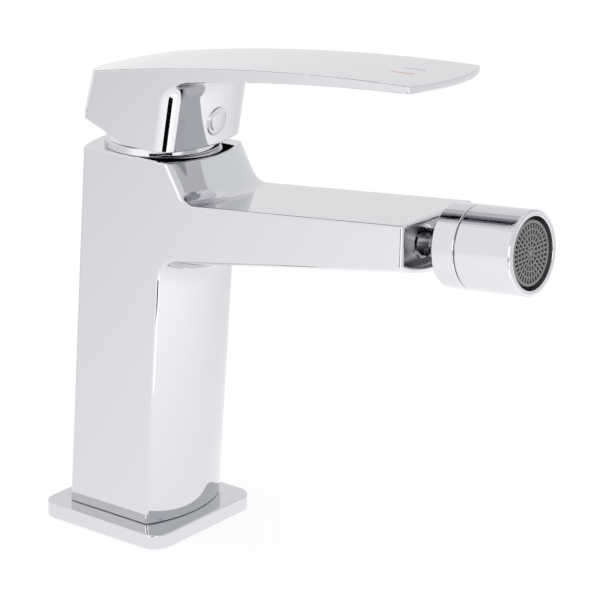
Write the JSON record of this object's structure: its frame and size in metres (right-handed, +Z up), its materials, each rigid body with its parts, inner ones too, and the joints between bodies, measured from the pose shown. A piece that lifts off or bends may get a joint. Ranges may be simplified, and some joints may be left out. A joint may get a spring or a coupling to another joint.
{
  "type": "bidet mixer tap",
  "caption": "Single-lever bidet mixer: leaning square column on a foot plate, rising spout, flat lever over a dome, and a swivelling ball-joint aerator.",
  "frame": {"origin": "centre of the foot plate's underside, on the axis of its round hole", "axes": "+X along the spout, +Z up, XZ is the plane of the spout and lever"},
  "size_m": [0.1686, 0.05, 0.1629],
  "materials": {
    "chrome": "polished",
    "chrome_plastic": "polished",
    "brass": "machined",
    "steel": "plain",
    "seal_rubber": "matte",
    "white_plastic": "matte",
    "grey_plastic": "matte",
    "ceramic_white": "polished",
    "red_enamel": "enamel",
    "blue_enamel": "enamel"
  },
  "bodies": {
    "body": {"base_plate": "chrome", "base_gasket": "seal_rubber", "body_casting": "chrome", "hot_inlet": "brass", "cold_inlet": "brass", "stud_socket": "brass", "cartridge_base": "white_plastic", "hot_port_seal": "seal_rubber", "cold_port_seal": "seal_rubber", "outlet_port_seal": "seal_rubber", "fixed_disc": "ceramic_white", "cartridge_housing": "white_plastic", "cartridge_nut": "brass", "dome_cover": "chrome", "ball_nipple": "chrome", "nipple_seal": "seal_rubber"},
    "spindle": {"rotor": "white_plastic", "pivot_pin": "steel"},
    "lever": {"stem": "brass", "lever_handle": "chrome", "grub_screw": "steel", "index_plug": "chrome_plastic", "hot_mark": "red_enamel", "cold_mark": "blue_enamel"},
    "disc": {"moving_disc": "ceramic_white", "disc_carrier": "white_plastic"},
    "ball_ring": {"slip_ring": "white_plastic"},
    "aerator": {"ball_seal": "seal_rubber", "seal_retainer": "brass", "swivel_collar": "chrome", "aerator_housing": "chrome", "aerator_gasket": "seal_rubber", "aerator_shell": "grey_plastic", "jet_disc": "white_plastic", "aerator_screen": "steel"}
  },
  "joints": [
    {"name": "temperature_turn", "type": "hinge", "parent": "body", "child": "spindle", "pos_m": [0.0057, 0, 0.1235], "axis": [0, 0, 1], "range_deg": [-45, 45]},
    {"name": "flow_lift", "type": "hinge", "parent": "spindle", "child": "lever", "pos_m": [0.0057, 0, 0.1235], "axis": [0, -1, 0], "range_deg": [0, 20]},
    {"name": "disc_slide", "type": "slide", "parent": "spindle", "child": "disc", "axis": [1, 0, 0], "range_m": [0, 0.0022]},
    {"name": "aerator_yaw", "type": "hinge", "parent": "body", "child": "ball_ring", "pos_m": [0.11797, 0, 0.1141], "axis": [-0.0976, 0, 0.9952], "range_deg": [-13, 13]},
    {"name": "aerator_pitch", "type": "hinge", "parent": "ball_ring", "child": "aerator", "pos_m": [0.11797, 0, 0.1141], "axis": [0, -1, 0], "range_deg": [-13, 13]}
  ],
  "couplings": [
    {"joint": "disc_slide", "follows": "flow_lift", "m_per_rad": 0.006251}
  ]
}
